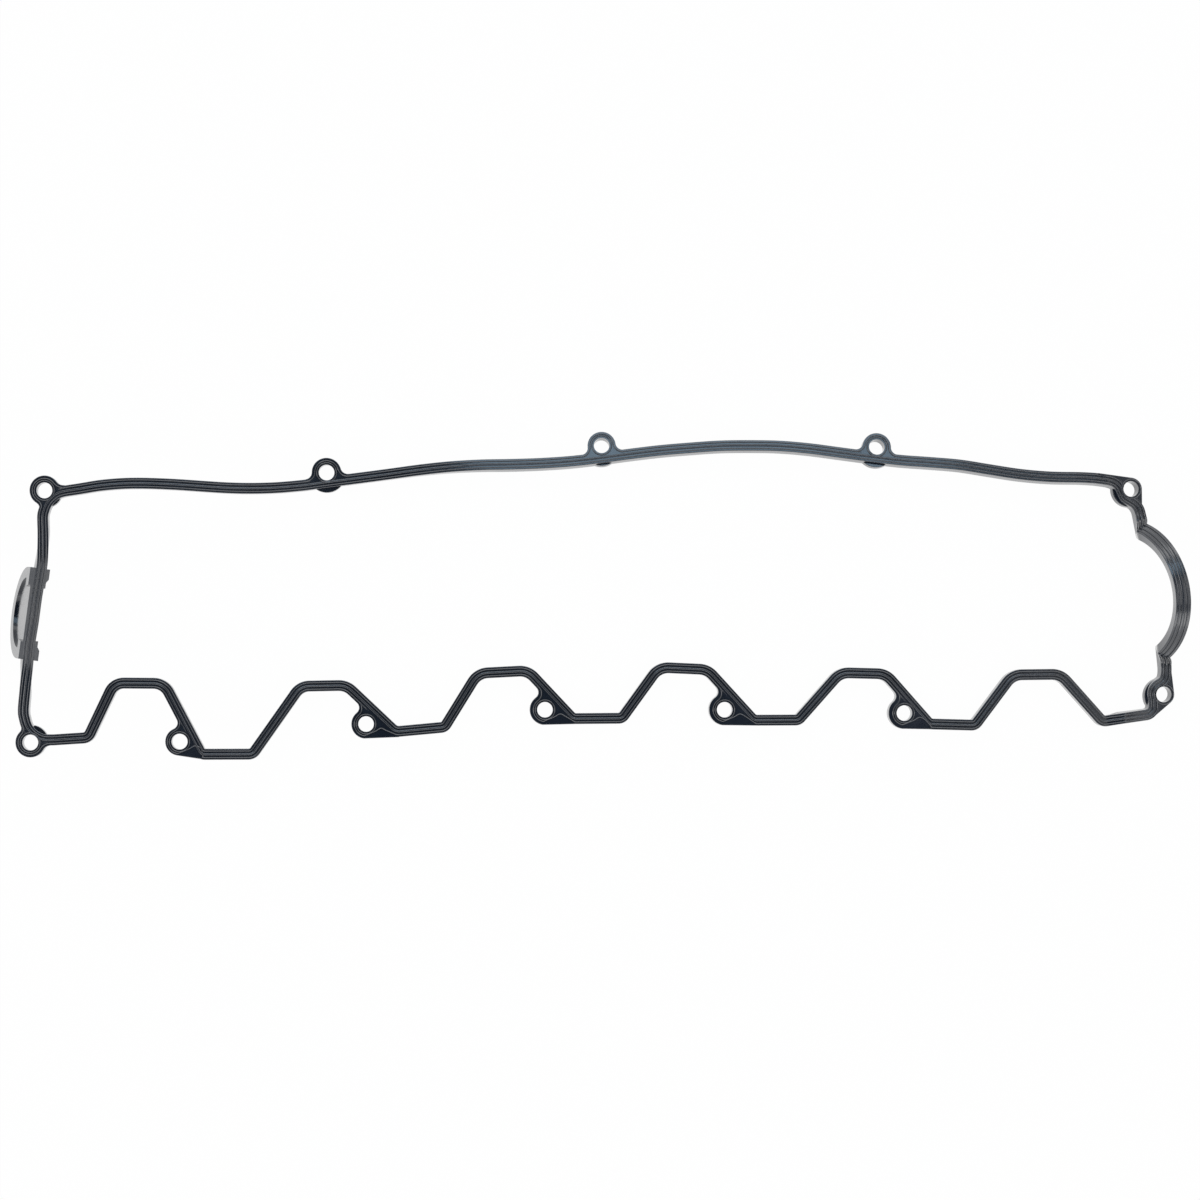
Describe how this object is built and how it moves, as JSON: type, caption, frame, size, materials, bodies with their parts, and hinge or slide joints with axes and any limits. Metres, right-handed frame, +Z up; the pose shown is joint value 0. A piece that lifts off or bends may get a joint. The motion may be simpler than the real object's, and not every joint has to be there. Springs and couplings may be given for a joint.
{
  "type": "valve cover gasket",
  "caption": "One-piece black rubber valve cover gasket: a slim ribbed ring with bolt eyelets, a zigzag side round the ports, a raised seal arch at one end and a half-moon plug at the other.",
  "frame": {"origin": "centre of the bounding box in plan, on the surface the gasket lies on", "axes": "+X runs along the ring from the half-moon plug to the raised arch, +Y from the zigzag side to the long plain side, +Z up out of the ribbed face"},
  "size_m": [0.5896, 0.1652, 0.0303],
  "materials": {
    "rubber_black": "smooth moulded black rubber with a soft sheen"
  },
  "bodies": {
    "root": {"gasket": "rubber_black"}
  },
  "joints": []
}
